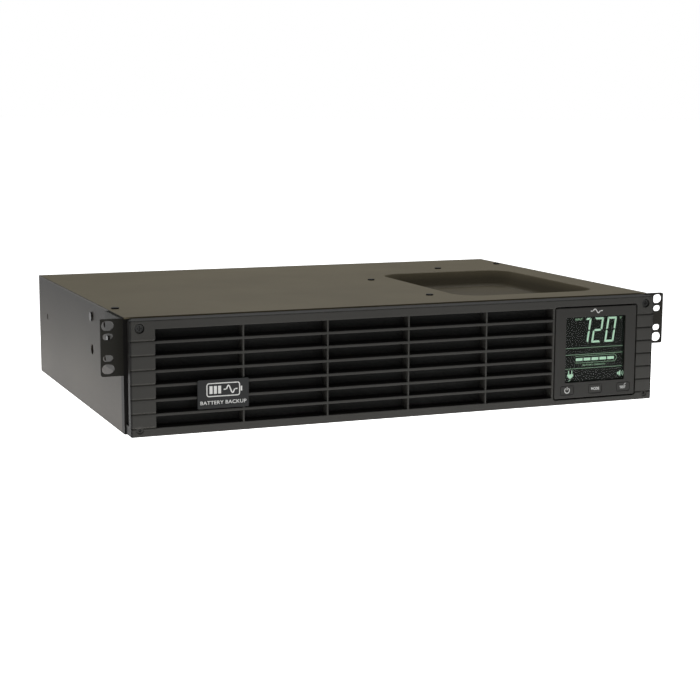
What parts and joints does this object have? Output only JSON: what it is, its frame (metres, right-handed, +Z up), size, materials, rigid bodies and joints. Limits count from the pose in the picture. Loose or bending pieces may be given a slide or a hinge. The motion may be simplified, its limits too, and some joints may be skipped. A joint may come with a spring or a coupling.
{
  "type": "uninterruptible power supply",
  "caption": "Rack-mount backup power unit: steel chassis with a pressed lid pocket, louvred plastic front, square backlit display, slotted rack ears and rear power sockets.",
  "frame": {"origin": "centre of the box on the surface it rests on", "axes": "+X to the right seen from the front, -Y out of the front, +Z up"},
  "size_m": [0.476, 0.32, 0.0875],
  "materials": {
    "chassis_paint": "satin",
    "cover_paint": "satin",
    "panel_paint": "satin",
    "filter_foam": "open-cell foam",
    "bezel_plastic": "fine texture",
    "module_plastic": "fine texture",
    "key_plastic": "fine texture",
    "nameplate_plastic": "satin",
    "ear_paint": "satin",
    "screw_black": "black oxide",
    "screw_steel": "zinc plated",
    "zinc_steel": "zinc plated",
    "battery_case": "moulded",
    "brass_metal": "bright",
    "lead_red": "vinyl",
    "lead_black": "vinyl",
    "connector_plastic": "moulded",
    "core_steel": "varnished",
    "copper": "enamelled wire",
    "ferrite": "coated",
    "board_green": "solder mask",
    "sink_aluminium": "extruded",
    "can_sleeve": "shrunk sleeve",
    "fan_plastic": "moulded",
    "outlet_plastic": "moulded",
    "breaker_plastic": "moulded",
    "port_metal": "nickel plated",
    "jack_plastic": "moulded",
    "lens_clear": "clear",
    "lcd_glass": "backlit panel"
  },
  "bodies": {
    "chassis": {"accessory_cover": "panel_paint", "alarm_buzzer": "connector_plastic", "battery_connector": "connector_plastic", "battery_lead_red": "lead_red", "battery_leads_black": "lead_black", "battery_left": "battery_case", "battery_right": "battery_case", "battery_terminals": "brass_metal", "battery_tray": "zinc_steel", "bezel_screws_bottom": "screw_black", "bezel_screws_top": "screw_black", "board_screws": "screw_steel", "board_standoffs": "brass_metal", "breaker_body": "outlet_plastic", "chassis_tray": "chassis_paint", "choke_core": "ferrite", "choke_winding": "copper", "cover_screws": "screw_black", "display_cable": "lead_black", "dust_filter": "filter_foam", "fan_frame": "fan_plastic", "fan_guard": "zinc_steel", "filter_capacitors": "can_sleeve", "front_bezel": "bezel_plastic", "front_plate": "chassis_paint", "ground_screw": "screw_steel", "heat_sinks": "sink_aluminium", "inlet_body": "outlet_plastic", "inlet_pins": "brass_metal", "main_board": "board_green", "nameplate": "nameplate_plastic", "network_jacks": "jack_plastic", "outlet_block_left": "outlet_plastic", "outlet_block_right": "outlet_plastic", "outlet_contacts": "brass_metal", "power_transistors": "connector_plastic", "rack_ear_left": "ear_paint", "rack_ear_right": "ear_paint", "rear_panel": "panel_paint", "rear_screws": "screw_steel", "serial_port": "port_metal", "side_screws": "screw_black", "top_cover": "cover_paint", "transfer_relays": "connector_plastic", "transformer_bolts": "screw_steel", "transformer_bracket": "zinc_steel", "transformer_coil": "copper", "transformer_core": "core_steel", "usb_port": "port_metal"},
    "display_module": {"display_housing": "module_plastic", "display_lens": "lens_clear", "lcd_panel": "lcd_glass", "display_board": "board_green", "display_back": "module_plastic", "tact_switches": "connector_plastic"},
    "power_key": {"power_button": "key_plastic"},
    "mode_key": {"mode_button": "key_plastic"},
    "mute_key": {"mute_button": "key_plastic"},
    "fan_rotor": {"fan_impeller": "fan_plastic"},
    "breaker_plunger": {"breaker_button": "breaker_plastic"}
  },
  "joints": [
    {"name": "display_pull", "type": "slide", "parent": "chassis", "child": "display_module", "axis": [0, -1, 0], "range_m": [0, 0.02]},
    {"name": "power_press", "type": "slide", "parent": "display_module", "child": "power_key", "axis": [0, 1, 0], "range_m": [0, 0.001], "stiffness_N_per_m": 600, "springref_m": -0.0015},
    {"name": "mode_press", "type": "slide", "parent": "display_module", "child": "mode_key", "axis": [0, 1, 0], "range_m": [0, 0.001], "stiffness_N_per_m": 600, "springref_m": -0.0015},
    {"name": "mute_press", "type": "slide", "parent": "display_module", "child": "mute_key", "axis": [0, 1, 0], "range_m": [0, 0.001], "stiffness_N_per_m": 600, "springref_m": -0.0015},
    {"name": "fan_spin", "type": "hinge", "parent": "chassis", "child": "fan_rotor", "pos_m": [0.165, 0.1412, 0.043], "axis": [0, 1, 0], "continuous": true},
    {"name": "breaker_pop", "type": "slide", "parent": "chassis", "child": "breaker_plunger", "axis": [0, 1, 0], "range_m": [0, 0.004]}
  ]
}
